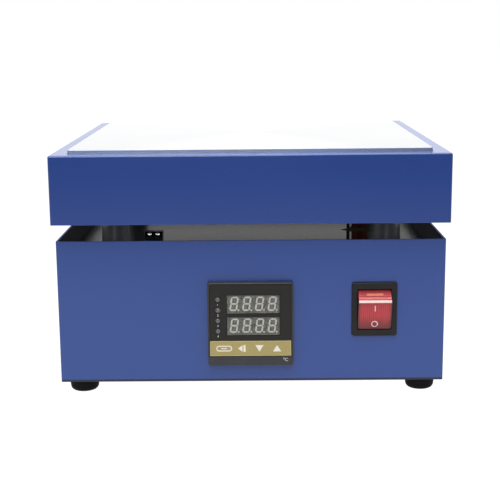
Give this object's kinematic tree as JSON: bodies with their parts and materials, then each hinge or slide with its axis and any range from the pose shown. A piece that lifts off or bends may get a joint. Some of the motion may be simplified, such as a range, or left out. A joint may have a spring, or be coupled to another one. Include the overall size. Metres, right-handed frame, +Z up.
{
  "type": "pcb preheater",
  "caption": "Bench hot plate for preheating circuit boards: square aluminium plate in a blue steel housing on standoffs over a control case with temperature controller and rocker switch.",
  "frame": {"origin": "centre of the bounding box's bottom, on the plane that the feet stand on", "axes": "X to the right as seen from the front, Y to the back, Z up; the front panel faces -Y"},
  "size_m": [0.219, 0.218, 0.1407],
  "materials": {
    "blue_paint": "satin",
    "plate_aluminium": "face turned",
    "zinc_steel": "zinc plated",
    "polished_steel": "polished",
    "element_steel": "heat darkened",
    "ceramic_fibre": "matt",
    "black_rubber": "matt",
    "black_plastic": "satin",
    "fascia_film": "semi gloss",
    "display_grey": "clear over grey",
    "lamp_clear": "clear, unlit",
    "key_gold": "satin gold",
    "circuit_green": "solder mask",
    "rocker_red": "translucent gloss",
    "red_sleeve": "braided",
    "brown_braid": "braided",
    "brass": "plain",
    "fuse_glass": "clear with metal caps",
    "relay_white": "satin"
  },
  "bodies": {
    "base": {"bracket_screw_left": "zinc_steel", "bracket_screw_right": "zinc_steel", "clamp_screw_back_left": "zinc_steel", "clamp_screw_back_right": "zinc_steel", "clamp_screw_front_left": "zinc_steel", "clamp_screw_front_right": "zinc_steel", "controller_board": "circuit_green", "controller_case": "black_plastic", "controller_fascia": "fascia_film", "controller_terminals": "black_plastic", "deck_grommet": "black_rubber", "deck_plate": "zinc_steel", "deck_screw_back_left": "zinc_steel", "deck_screw_back_right": "zinc_steel", "deck_screw_front_left": "zinc_steel", "deck_screw_front_right": "zinc_steel", "deck_terminal": "black_plastic", "display_lower": "display_grey", "display_upper": "display_grey", "earth_screw": "brass", "foot_back_left": "black_rubber", "foot_back_right": "black_rubber", "foot_front_left": "black_rubber", "foot_front_right": "black_rubber", "foot_screw_back_left": "zinc_steel", "foot_screw_back_right": "zinc_steel", "foot_screw_front_left": "zinc_steel", "foot_screw_front_right": "zinc_steel", "heater_lead_live": "red_sleeve", "heater_lead_neutral": "red_sleeve", "heating_element": "element_steel", "heating_plate": "plate_aluminium", "inlet_pin_earth": "brass", "inlet_pin_live": "brass", "inlet_pin_neutral": "brass", "inlet_screw_left": "zinc_steel", "inlet_screw_right": "zinc_steel", "insulation_board": "ceramic_fibre", "key_strip": "key_gold", "lead_tie": "brown_braid", "light_guide": "lamp_clear", "lower_case": "blue_paint", "mains_inlet": "black_plastic", "panel_bracket": "black_plastic", "solid_state_relay": "relay_white", "standoff_back_left": "polished_steel", "standoff_back_right": "polished_steel", "standoff_front_left": "polished_steel", "standoff_front_right": "polished_steel", "switch_body": "black_plastic", "thermocouple": "brown_braid", "upper_grommet": "black_rubber", "upper_housing": "blue_paint"},
    "rocker": {"switch_rocker": "rocker_red"},
    "key_set": {"key_set": "key_gold"},
    "key_shift": {"key_shift": "key_gold"},
    "key_down": {"key_down": "key_gold"},
    "key_up": {"key_up": "key_gold"},
    "fuse_drawer": {"fuse_drawer": "black_plastic", "fuse": "fuse_glass"}
  },
  "joints": [
    {"name": "rocker_hinge", "type": "hinge", "parent": "base", "child": "rocker", "pos_m": [0.0693, -0.0941, 0.0495], "axis": [-1, 0, 0], "range_deg": [0, 32]},
    {"name": "key_set_press", "type": "slide", "parent": "base", "child": "key_set", "axis": [0, 1, 0], "range_m": [0, 0.0005], "stiffness_N_per_m": 400},
    {"name": "key_shift_press", "type": "slide", "parent": "base", "child": "key_shift", "axis": [0, 1, 0], "range_m": [0, 0.0005], "stiffness_N_per_m": 400},
    {"name": "key_down_press", "type": "slide", "parent": "base", "child": "key_down", "axis": [0, 1, 0], "range_m": [0, 0.0005], "stiffness_N_per_m": 400},
    {"name": "key_up_press", "type": "slide", "parent": "base", "child": "key_up", "axis": [0, 1, 0], "range_m": [0, 0.0005], "stiffness_N_per_m": 400},
    {"name": "fuse_drawer_slide", "type": "slide", "parent": "base", "child": "fuse_drawer", "axis": [0, 1, 0], "range_m": [0, 0.014]}
  ]
}
